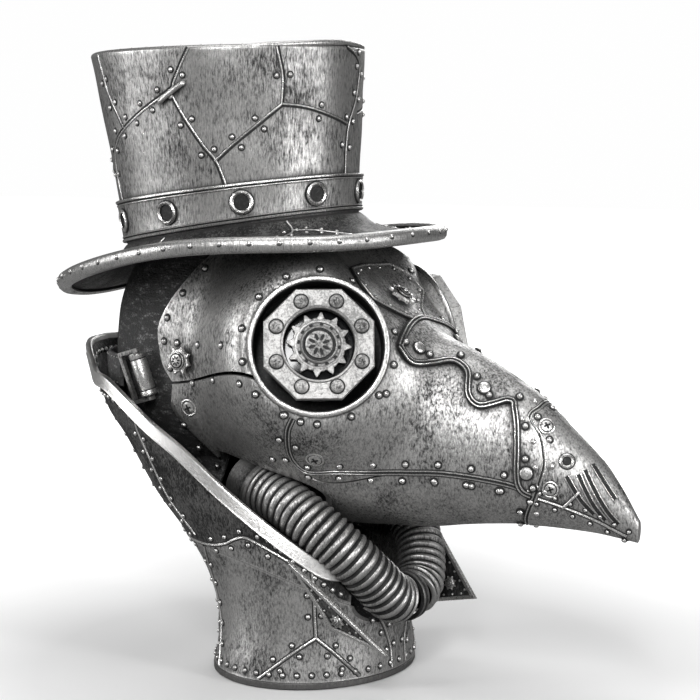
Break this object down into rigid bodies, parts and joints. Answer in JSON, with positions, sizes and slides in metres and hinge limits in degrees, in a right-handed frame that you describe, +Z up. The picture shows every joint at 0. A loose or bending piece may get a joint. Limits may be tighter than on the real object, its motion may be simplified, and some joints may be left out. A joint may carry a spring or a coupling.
{
  "type": "plague doctor headpiece",
  "caption": "Steampunk plague doctor headpiece: riveted beak mask with bolted round eyepieces, leather hood, breathing hoses, lift-off top hat and standing collar.",
  "frame": {"origin": "middle of the object's box, on the plane of the flat ring under the collar", "axes": "+X to the front along the beak, +Y to the wearer's left, +Z up"},
  "size_m": [0.5074, 0.2888, 0.4989],
  "materials": {
    "silver": "antique silver, brushed, with black wash in the recesses",
    "bright_silver": "worn bright silver on raised metal",
    "dark_silver": "blackened silver, brushed",
    "leather": "dark creased leather with a silver rub on the high grain",
    "hose": "silver-washed corrugated hose",
    "lens_glass": "near-black glossy lens"
  },
  "bodies": {
    "head_and_collar": {"hood": "leather", "neck_sleeve": "leather", "mask_upper": "silver", "mask_lower": "silver", "bridge_plate": "silver", "brow_plate": "silver", "beak_tip": "silver", "throat_valve": "dark_silver", "rear_strap": "leather", "brow_gear": "bright_silver", "gorget": "silver", "collar": "dark_silver", "base_ring": "dark_silver", "eye_socket_right": "dark_silver", "eye_barrel_right": "silver", "eye_flange_right": "bright_silver", "eye_lens_right": "lens_glass", "cheek_screw_right": "silver", "jaw_screw_right": "silver", "tip_screw_upper_right": "silver", "tip_screw_lower_right": "silver", "tip_eyelet_right": "silver", "hose_socket_right": "dark_silver", "hose_right": "hose", "strap_buckle_right": "silver", "lapel_right": "silver", "eye_socket_left": "dark_silver", "eye_barrel_left": "silver", "eye_flange_left": "bright_silver", "eye_lens_left": "lens_glass", "cheek_screw_left": "silver", "jaw_screw_left": "silver", "tip_screw_upper_left": "silver", "tip_screw_lower_left": "silver", "tip_eyelet_left": "silver", "hose_socket_left": "dark_silver", "hose_left": "hose", "strap_buckle_left": "silver", "lapel_left": "silver"},
    "top_hat": {"hat_crown": "silver", "hat_brim": "dark_silver", "hat_band": "silver", "brim_binding": "silver", "hat_sweatband": "leather", "hat_eyelet_1": "bright_silver", "hat_eyelet_2": "bright_silver", "hat_eyelet_3": "bright_silver", "hat_eyelet_4": "bright_silver", "hat_eyelet_5": "bright_silver", "hat_eyelet_6": "bright_silver", "hat_eyelet_7": "bright_silver", "hat_eyelet_8": "bright_silver", "hat_eyelet_9": "bright_silver", "hat_eyelet_10": "bright_silver"},
    "eye_dial_right": {"eye_dial_right": "silver"},
    "temple_dial_right": {"temple_dial_right": "bright_silver"},
    "strap_roller_right": {"strap_roller_right": "bright_silver"},
    "eye_dial_left": {"eye_dial_left": "silver"},
    "temple_dial_left": {"temple_dial_left": "bright_silver"},
    "strap_roller_left": {"strap_roller_left": "bright_silver"}
  },
  "joints": [
    {"name": "hat_lift", "type": "slide", "parent": "head_and_collar", "child": "top_hat", "axis": [-0.1564, 0, 0.9877], "range_m": [0, 0.15]},
    {"name": "eye_dial_turn_right", "type": "hinge", "parent": "head_and_collar", "child": "eye_dial_right", "pos_m": [0.03473, -0.098, 0.274], "axis": [0.5296, -0.8193, 0.2198], "continuous": true},
    {"name": "temple_dial_turn_right", "type": "hinge", "parent": "head_and_collar", "child": "temple_dial_right", "pos_m": [-0.10156, -0.08433, 0.25219], "axis": [-0.069, -0.9976, -0.0059], "continuous": true},
    {"name": "strap_roller_turn_right", "type": "hinge", "parent": "head_and_collar", "child": "strap_roller_right", "pos_m": [-0.14127, -0.07978, 0.238], "axis": [-0.2807, -0.1203, 0.9522], "continuous": true},
    {"name": "eye_dial_turn_left", "type": "hinge", "parent": "head_and_collar", "child": "eye_dial_left", "pos_m": [0.03473, 0.098, 0.274], "axis": [0.5296, 0.8193, 0.2198], "continuous": true},
    {"name": "temple_dial_turn_left", "type": "hinge", "parent": "head_and_collar", "child": "temple_dial_left", "pos_m": [-0.10156, 0.08433, 0.25219], "axis": [-0.069, 0.9976, -0.0059], "continuous": true},
    {"name": "strap_roller_turn_left", "type": "hinge", "parent": "head_and_collar", "child": "strap_roller_left", "pos_m": [-0.14127, 0.07978, 0.238], "axis": [-0.2807, 0.1203, 0.9522], "continuous": true}
  ]
}
